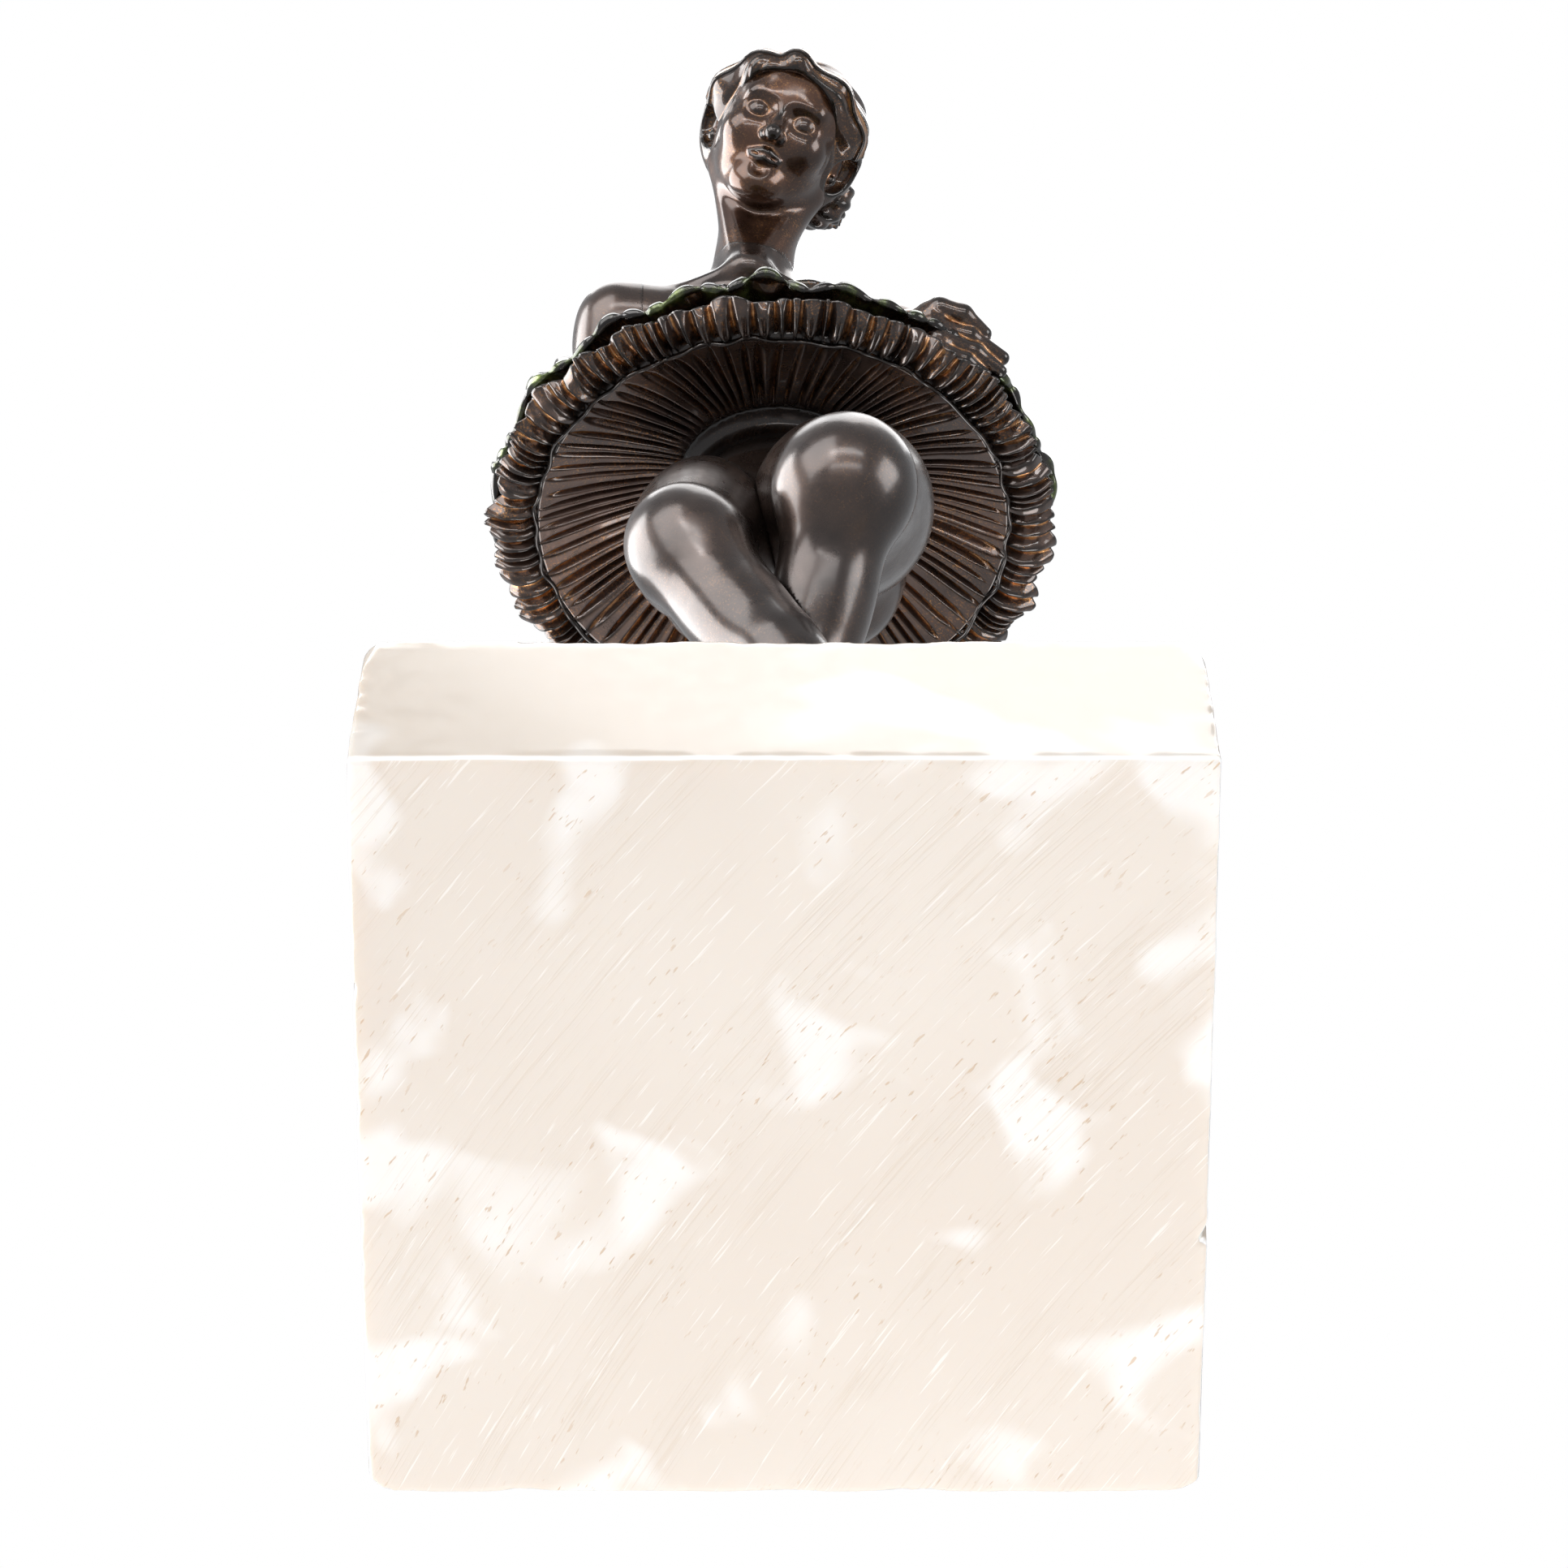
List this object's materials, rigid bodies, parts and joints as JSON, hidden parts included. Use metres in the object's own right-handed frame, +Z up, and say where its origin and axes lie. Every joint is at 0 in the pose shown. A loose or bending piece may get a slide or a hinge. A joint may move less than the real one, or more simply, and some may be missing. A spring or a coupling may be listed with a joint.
{
  "type": "bronze statuette",
  "caption": "Bronze dancer in a pleated tutu, curtsying with crossed legs and one hand on the hem, on a square block of pale alabaster.",
  "frame": {"origin": "centre of the underside of the stone block", "axes": "+Z up through the figure, -Y towards the front that the dancer faces, +X towards the dancer's left"},
  "size_m": [0.1, 0.1088, 0.2043],
  "materials": {
    "alabaster": "cream alabaster with soft white clouds, polished on the sides and saw-cut underneath",
    "bronze": "glossy lacquered near-black brown patina, rubbed to gold on the ridges",
    "green_bronze": "glossy brown patina with green in the hollows",
    "gilt_bronze": "rubbed golden bronze",
    "pin_steel": "plain turned steel, hidden in the joints"
  },
  "bodies": {
    "root": {"alabaster_base": "alabaster", "foot_pegs": "pin_steel", "right_leg": "bronze", "left_leg": "bronze", "pelvis": "bronze", "hip_pins": "pin_steel", "underskirt": "bronze", "hem_frill": "bronze", "top_skirt": "green_bronze", "waist_screw": "pin_steel", "bodice": "green_bronze", "bust": "bronze", "chest_pins": "pin_steel", "right_arm": "bronze", "left_arm": "bronze", "shoulder_pins": "pin_steel", "head": "bronze", "neck_pin": "pin_steel", "hair_bun": "bronze", "bun_pin": "pin_steel", "headband": "gilt_bronze"}
  },
  "joints": []
}
